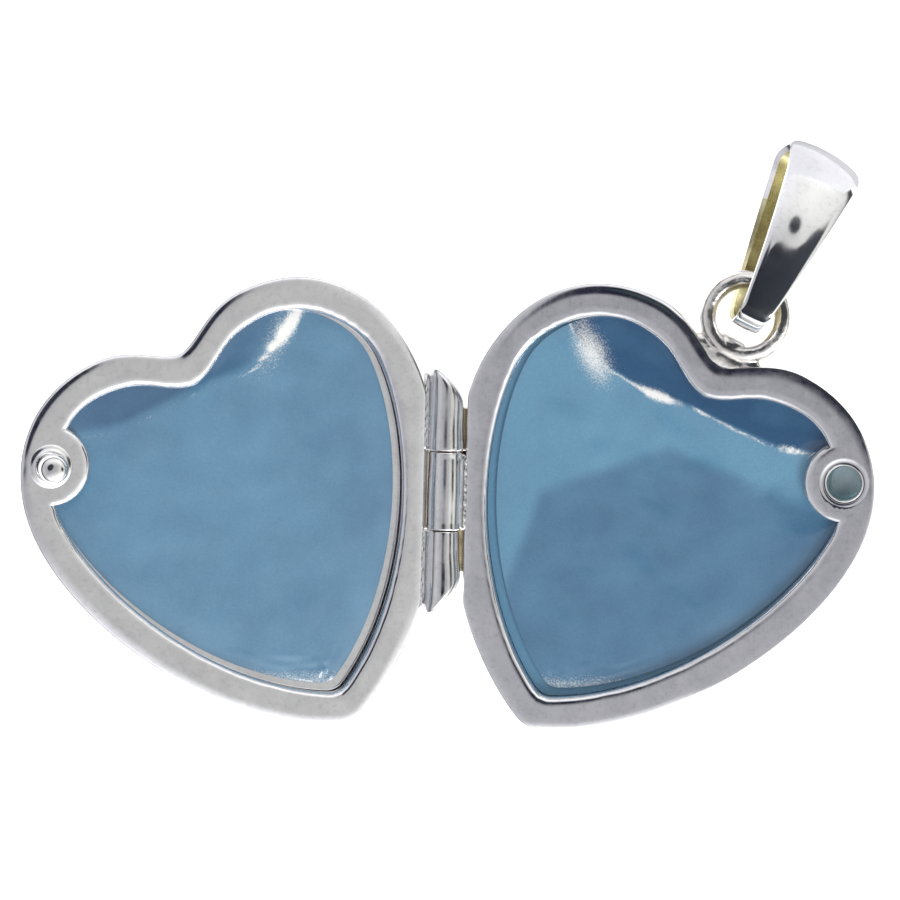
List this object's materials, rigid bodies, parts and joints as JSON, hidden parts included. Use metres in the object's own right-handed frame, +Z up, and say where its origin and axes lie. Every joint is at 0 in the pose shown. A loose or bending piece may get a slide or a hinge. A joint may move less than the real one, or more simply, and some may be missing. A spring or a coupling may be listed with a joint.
{
  "type": "heart locket",
  "caption": "Hinged heart-shaped locket, shown open, with a covered photo recess in each domed half, a snap catch, and a tapered bail on a soldered ring.",
  "frame": {"origin": "under the middle of the open locket's box, on the surface that it lies on", "axes": "+Z up out of the open halves, +Y along the hinge towards the hearts' lobes and the bail, +X towards the rear half, which carries the ring"},
  "size_m": [0.0368, 0.0262, 0.0056],
  "materials": {
    "polished_silver": "polished, with fine handling marks",
    "rim_silver": "polished over soft buffing waves, greyed by handling",
    "blue_cover": "glossy clear film over blue card, faintly wrinkled",
    "catch_silver": "polished, darker in its grooves",
    "hinge_silver": "polished, with draw lines and tarnish between the knuckles",
    "cast_silver": "as cast, lightly pitted, with lumpy solder",
    "bail_silver": "polished outside, yellowed by tarnish inside the loop"
  },
  "bodies": {
    "rear_half": {"rear_shell": "polished_silver", "rear_rim": "rim_silver", "rear_photo_cover": "blue_cover", "catch_socket": "catch_silver", "hinge_knuckle_middle": "hinge_silver", "bail_ring": "cast_silver"},
    "front_half": {"front_shell": "polished_silver", "front_rim": "rim_silver", "front_photo_cover": "blue_cover", "catch_peg": "catch_silver", "hinge_knuckle_upper": "hinge_silver", "hinge_knuckle_lower": "hinge_silver", "hinge_pin": "hinge_silver"},
    "bail": {"bail": "bail_silver"}
  },
  "joints": [
    {"name": "front_hinge", "type": "hinge", "parent": "rear_half", "child": "front_half", "pos_m": [0, -0.00289, 0.00198], "axis": [0, 1, 0], "range_deg": [-16.5, 163.5]},
    {"name": "bail_swing", "type": "hinge", "parent": "rear_half", "child": "bail", "pos_m": [0.01334, 0.00639, 0.00357], "axis": [0.9093, -0.3997, -0.1156], "range_deg": [-90, 110]}
  ]
}
